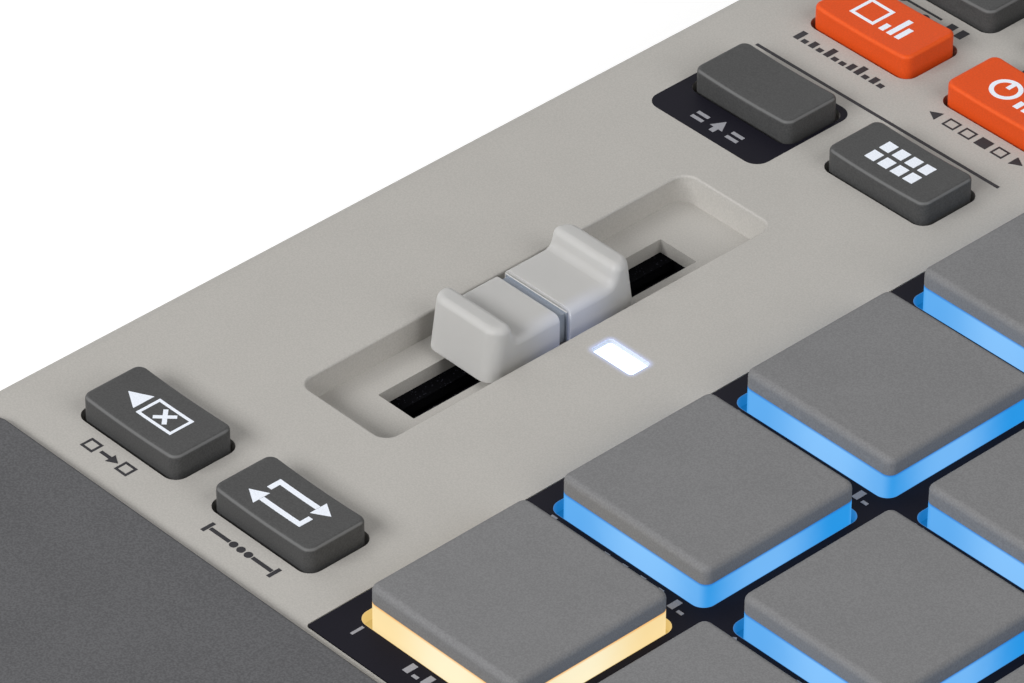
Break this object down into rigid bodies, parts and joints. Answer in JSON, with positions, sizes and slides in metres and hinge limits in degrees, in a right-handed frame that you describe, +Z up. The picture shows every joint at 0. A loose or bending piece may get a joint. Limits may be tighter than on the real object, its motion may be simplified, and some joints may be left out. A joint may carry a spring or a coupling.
{
  "type": "audio sampler",
  "caption": "Flat desktop audio sampler: lit square drum pads, push buttons, a level fader in a well, knobs, a data dial, a display, a palm rest and rear sockets.",
  "frame": {"origin": "on the table under the middle of the case, at the underside of the feet", "axes": "+X to the player's right, +Y to the rear, +Z up out of the control surface"},
  "size_m": [0.19, 0.24, 0.0528],
  "materials": {
    "light_shell": "fine matt grain",
    "dark_shell": "fine matt grain",
    "rest_soft": "soft-touch grain",
    "bezel_navy": "matt print",
    "guide_clear": "clear moulding, lit from below",
    "board_green": "solder mask",
    "switch_black": "moulded",
    "strip_felt": "felt",
    "steel": "plated",
    "lamp_white": "lit window",
    "window_glass": "smoked, flush",
    "screen_black": "screen",
    "battery_wrap": "shrink wrap",
    "foot_rubber": "matt",
    "socket_black": "moulded",
    "pad_silicone": "matt, with a lit skirt",
    "button_dark": "matt moulding",
    "button_orange": "matt moulding",
    "cap_grey": "satin moulding",
    "pointer_grey": "satin moulding",
    "knob_dark": "matt moulding"
  },
  "bodies": {
    "case": {"top_panel": "light_shell", "bottom_case": "dark_shell", "palm_rest": "rest_soft", "pad_bezel": "bezel_navy", "pad_light_guide": "guide_clear", "pad_sensor_board": "board_green", "key_switches": "switch_black", "fader_dust_strip": "strip_felt", "fader_slide": "steel", "level_lamp": "lamp_white", "turn_controls": "switch_black", "display_window": "window_glass", "display_module": "screen_black", "control_board": "board_green", "main_board": "board_green", "battery_pack": "battery_wrap", "feet": "foot_rubber", "case_screws": "steel", "board_screws": "steel", "audio_sockets": "socket_black", "usb_socket": "steel"},
    "pad_01": {"pad_01": "pad_silicone"},
    "pad_02": {"pad_02": "pad_silicone"},
    "pad_03": {"pad_03": "pad_silicone"},
    "pad_04": {"pad_04": "pad_silicone"},
    "pad_05": {"pad_05": "pad_silicone"},
    "pad_06": {"pad_06": "pad_silicone"},
    "pad_07": {"pad_07": "pad_silicone"},
    "pad_08": {"pad_08": "pad_silicone"},
    "pad_09": {"pad_09": "pad_silicone"},
    "pad_10": {"pad_10": "pad_silicone"},
    "pad_11": {"pad_11": "pad_silicone"},
    "pad_12": {"pad_12": "pad_silicone"},
    "pad_13": {"pad_13": "pad_silicone"},
    "pad_14": {"pad_14": "pad_silicone"},
    "pad_15": {"pad_15": "pad_silicone"},
    "pad_16": {"pad_16": "pad_silicone"},
    "erase_button": {"erase_button": "button_dark"},
    "repeat_button": {"repeat_button": "button_dark"},
    "shift_button": {"shift_button": "button_dark"},
    "bank_button": {"bank_button": "button_dark"},
    "pad_effect_button": {"pad_effect_button": "button_orange"},
    "knob_effect_button": {"knob_effect_button": "button_orange"},
    "sample_button": {"sample_button": "button_dark"},
    "pattern_button": {"pattern_button": "button_dark"},
    "tempo_button": {"tempo_button": "button_dark"},
    "menu_button": {"menu_button": "button_dark"},
    "record_button": {"record_button": "button_dark"},
    "stop_button": {"stop_button": "button_dark"},
    "play_button": {"play_button": "button_dark"},
    "power_button": {"power_button": "button_dark"},
    "fader": {"fader_cap": "cap_grey", "fader_pointer": "pointer_grey", "fader_lever": "steel"},
    "tone_knob_1": {"tone_knob_1": "knob_dark"},
    "tone_knob_2": {"tone_knob_2": "knob_dark"},
    "tone_knob_3": {"tone_knob_3": "knob_dark"},
    "data_dial": {"data_dial": "knob_dark"}
  },
  "joints": [
    {"name": "fader_slide", "type": "slide", "parent": "case", "child": "fader", "axis": [0, 1, 0], "range_m": [-0.0175, 0.02]},
    {"name": "tone_knob_1_turn", "type": "hinge", "parent": "case", "child": "tone_knob_1", "pos_m": [-0.0746, 0.092, 0.04], "axis": [0, 0, -1], "range_deg": [-150, 150]},
    {"name": "tone_knob_2_turn", "type": "hinge", "parent": "case", "child": "tone_knob_2", "pos_m": [-0.0509, 0.092, 0.04], "axis": [0, 0, -1], "range_deg": [-150, 150]},
    {"name": "tone_knob_3_turn", "type": "hinge", "parent": "case", "child": "tone_knob_3", "pos_m": [-0.0272, 0.092, 0.04], "axis": [0, 0, -1], "range_deg": [-150, 150]},
    {"name": "data_dial_turn", "type": "hinge", "parent": "case", "child": "data_dial", "pos_m": [0.076, 0.092, 0.04], "axis": [0, 0, -1], "continuous": true},
    {"name": "erase_button_press", "type": "slide", "parent": "case", "child": "erase_button", "axis": [0, 0, -1], "range_m": [0, 0.001], "stiffness_N_per_m": 500, "springref_m": -0.0004},
    {"name": "repeat_button_press", "type": "slide", "parent": "case", "child": "repeat_button", "axis": [0, 0, -1], "range_m": [0, 0.001], "stiffness_N_per_m": 500, "springref_m": -0.0004},
    {"name": "shift_button_press", "type": "slide", "parent": "case", "child": "shift_button", "axis": [0, 0, -1], "range_m": [0, 0.001], "stiffness_N_per_m": 500, "springref_m": -0.0004},
    {"name": "bank_button_press", "type": "slide", "parent": "case", "child": "bank_button", "axis": [0, 0, -1], "range_m": [0, 0.001], "stiffness_N_per_m": 500, "springref_m": -0.0004},
    {"name": "pad_effect_button_press", "type": "slide", "parent": "case", "child": "pad_effect_button", "axis": [0, 0, -1], "range_m": [0, 0.001], "stiffness_N_per_m": 500, "springref_m": -0.0004},
    {"name": "knob_effect_button_press", "type": "slide", "parent": "case", "child": "knob_effect_button", "axis": [0, 0, -1], "range_m": [0, 0.001], "stiffness_N_per_m": 500, "springref_m": -0.0004},
    {"name": "sample_button_press", "type": "slide", "parent": "case", "child": "sample_button", "axis": [0, 0, -1], "range_m": [0, 0.001], "stiffness_N_per_m": 500, "springref_m": -0.0004},
    {"name": "pattern_button_press", "type": "slide", "parent": "case", "child": "pattern_button", "axis": [0, 0, -1], "range_m": [0, 0.001], "stiffness_N_per_m": 500, "springref_m": -0.0004},
    {"name": "tempo_button_press", "type": "slide", "parent": "case", "child": "tempo_button", "axis": [0, 0, -1], "range_m": [0, 0.001], "stiffness_N_per_m": 500, "springref_m": -0.0004},
    {"name": "menu_button_press", "type": "slide", "parent": "case", "child": "menu_button", "axis": [0, 0, -1], "range_m": [0, 0.001], "stiffness_N_per_m": 500, "springref_m": -0.0004},
    {"name": "record_button_press", "type": "slide", "parent": "case", "child": "record_button", "axis": [0, 0, -1], "range_m": [0, 0.001], "stiffness_N_per_m": 500, "springref_m": -0.0004},
    {"name": "stop_button_press", "type": "slide", "parent": "case", "child": "stop_button", "axis": [0, 0, -1], "range_m": [0, 0.001], "stiffness_N_per_m": 500, "springref_m": -0.0004},
    {"name": "play_button_press", "type": "slide", "parent": "case", "child": "play_button", "axis": [0, 0, -1], "range_m": [0, 0.001], "stiffness_N_per_m": 500, "springref_m": -0.0004},
    {"name": "power_button_press", "type": "slide", "parent": "case", "child": "power_button", "axis": [0, 0, -1], "range_m": [0, 0.001], "stiffness_N_per_m": 500, "springref_m": -0.0004},
    {"name": "pad_01_press", "type": "slide", "parent": "case", "child": "pad_01", "axis": [0, 0, -1], "range_m": [0, 0.0008], "stiffness_N_per_m": 1500, "springref_m": -0.0003},
    {"name": "pad_02_press", "type": "slide", "parent": "case", "child": "pad_02", "axis": [0, 0, -1], "range_m": [0, 0.0008], "stiffness_N_per_m": 1500, "springref_m": -0.0003},
    {"name": "pad_03_press", "type": "slide", "parent": "case", "child": "pad_03", "axis": [0, 0, -1], "range_m": [0, 0.0008], "stiffness_N_per_m": 1500, "springref_m": -0.0003},
    {"name": "pad_04_press", "type": "slide", "parent": "case", "child": "pad_04", "axis": [0, 0, -1], "range_m": [0, 0.0008], "stiffness_N_per_m": 1500, "springref_m": -0.0003},
    {"name": "pad_05_press", "type": "slide", "parent": "case", "child": "pad_05", "axis": [0, 0, -1], "range_m": [0, 0.0008], "stiffness_N_per_m": 1500, "springref_m": -0.0003},
    {"name": "pad_06_press", "type": "slide", "parent": "case", "child": "pad_06", "axis": [0, 0, -1], "range_m": [0, 0.0008], "stiffness_N_per_m": 1500, "springref_m": -0.0003},
    {"name": "pad_07_press", "type": "slide", "parent": "case", "child": "pad_07", "axis": [0, 0, -1], "range_m": [0, 0.0008], "stiffness_N_per_m": 1500, "springref_m": -0.0003},
    {"name": "pad_08_press", "type": "slide", "parent": "case", "child": "pad_08", "axis": [0, 0, -1], "range_m": [0, 0.0008], "stiffness_N_per_m": 1500, "springref_m": -0.0003},
    {"name": "pad_09_press", "type": "slide", "parent": "case", "child": "pad_09", "axis": [0, 0, -1], "range_m": [0, 0.0008], "stiffness_N_per_m": 1500, "springref_m": -0.0003},
    {"name": "pad_10_press", "type": "slide", "parent": "case", "child": "pad_10", "axis": [0, 0, -1], "range_m": [0, 0.0008], "stiffness_N_per_m": 1500, "springref_m": -0.0003},
    {"name": "pad_11_press", "type": "slide", "parent": "case", "child": "pad_11", "axis": [0, 0, -1], "range_m": [0, 0.0008], "stiffness_N_per_m": 1500, "springref_m": -0.0003},
    {"name": "pad_12_press", "type": "slide", "parent": "case", "child": "pad_12", "axis": [0, 0, -1], "range_m": [0, 0.0008], "stiffness_N_per_m": 1500, "springref_m": -0.0003},
    {"name": "pad_13_press", "type": "slide", "parent": "case", "child": "pad_13", "axis": [0, 0, -1], "range_m": [0, 0.0008], "stiffness_N_per_m": 1500, "springref_m": -0.0003},
    {"name": "pad_14_press", "type": "slide", "parent": "case", "child": "pad_14", "axis": [0, 0, -1], "range_m": [0, 0.0008], "stiffness_N_per_m": 1500, "springref_m": -0.0003},
    {"name": "pad_15_press", "type": "slide", "parent": "case", "child": "pad_15", "axis": [0, 0, -1], "range_m": [0, 0.0008], "stiffness_N_per_m": 1500, "springref_m": -0.0003},
    {"name": "pad_16_press", "type": "slide", "parent": "case", "child": "pad_16", "axis": [0, 0, -1], "range_m": [0, 0.0008], "stiffness_N_per_m": 1500, "springref_m": -0.0003}
  ]
}
